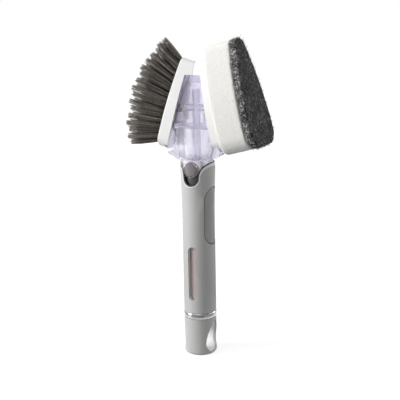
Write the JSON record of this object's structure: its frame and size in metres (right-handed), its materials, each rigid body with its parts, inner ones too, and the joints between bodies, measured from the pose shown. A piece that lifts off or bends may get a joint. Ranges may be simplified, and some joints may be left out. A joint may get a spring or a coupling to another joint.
{
  "type": "dish wand",
  "caption": "Soap-dispensing dish wand with a tank in its round handle, a clear wedge head, a tufted brush on one side and a sponge with a scouring pad on the other.",
  "frame": {"origin": "centre of the flat foot of the end cap", "axes": "+Z along the handle towards the head, -Y towards the window and the release button, -X towards the brush, +X towards the sponge and the pump button"},
  "size_m": [0.1175, 0.044, 0.2644],
  "materials": {
    "grip_grey": "satin moulded plastic, light grey",
    "cap_grey": "satin moulded plastic, light grey",
    "button_grey": "soft-touch, mid grey",
    "release_grey": "satin moulded plastic, dark grey",
    "socket_grey": "matte moulded plastic, near black",
    "shell_white": "satin moulded plastic, white",
    "carrier_white": "satin moulded plastic, white",
    "ring_chrome": "bright plated, polished",
    "tank_smoke": "smoky see-through plastic, glossy",
    "head_clear": "clear plastic with a faint violet tint, glossy",
    "pump_white": "natural moulded plastic",
    "silicone": "soft translucent silicone",
    "gasket_black": "soft moulded rubber, near black",
    "spring_steel": "bright drawn wire",
    "bristle_grey": "drawn nylon filament, warm dark grey",
    "sponge_white": "open-cell foam, off white",
    "scour_grey": "nonwoven abrasive fibre, dark grey"
  },
  "bodies": {
    "handle": {"grip_sleeve": "grip_grey", "handle_shell": "shell_white", "reservoir": "tank_smoke", "trim_ring": "ring_chrome", "neck_socket": "socket_grey", "release_guide": "shell_white", "pump_tray": "pump_white", "pump_diaphragm": "silicone", "inlet_valve": "silicone", "feed_tube": "silicone", "release_spring": "spring_steel", "neck_gasket": "gasket_black", "head_neck": "head_clear", "head_hood": "head_clear", "neck_seal": "silicone", "soap_manifold": "head_clear", "sponge_valve": "silicone", "brush_valve": "silicone"},
    "pump_button": {"pump_button": "button_grey"},
    "release_button": {"release_button": "release_grey"},
    "brush_refill": {"brush_block": "carrier_white", "bristle_tufts": "bristle_grey"},
    "sponge_refill": {"sponge_carrier": "carrier_white", "sponge": "sponge_white", "scour_pad": "scour_grey"},
    "cap": {"cap_skin": "cap_grey", "cap_core": "shell_white", "cap_seal": "silicone"}
  },
  "joints": [
    {"name": "pump_press", "type": "slide", "parent": "handle", "child": "pump_button", "axis": [-1, 0, 0], "range_m": [0, 0.0025], "stiffness_N_per_m": 1200, "deforming": ["pump_diaphragm"]},
    {"name": "release_press", "type": "slide", "parent": "handle", "child": "release_button", "axis": [0, 1, 0], "range_m": [0, 0.002], "stiffness_N_per_m": 1500, "deforming": ["release_spring"]},
    {"name": "brush_pull", "type": "slide", "parent": "handle", "child": "brush_refill", "axis": [-1, 0, 0], "range_m": [0, 0.012]},
    {"name": "sponge_pull", "type": "slide", "parent": "handle", "child": "sponge_refill", "axis": [1, 0, 0], "range_m": [0, 0.012]},
    {"name": "cap_unscrew", "type": "hinge", "parent": "handle", "child": "cap", "pos_m": [0, 0, 0], "axis": [0, 0, -1], "range_deg": [0, 450]}
  ]
}
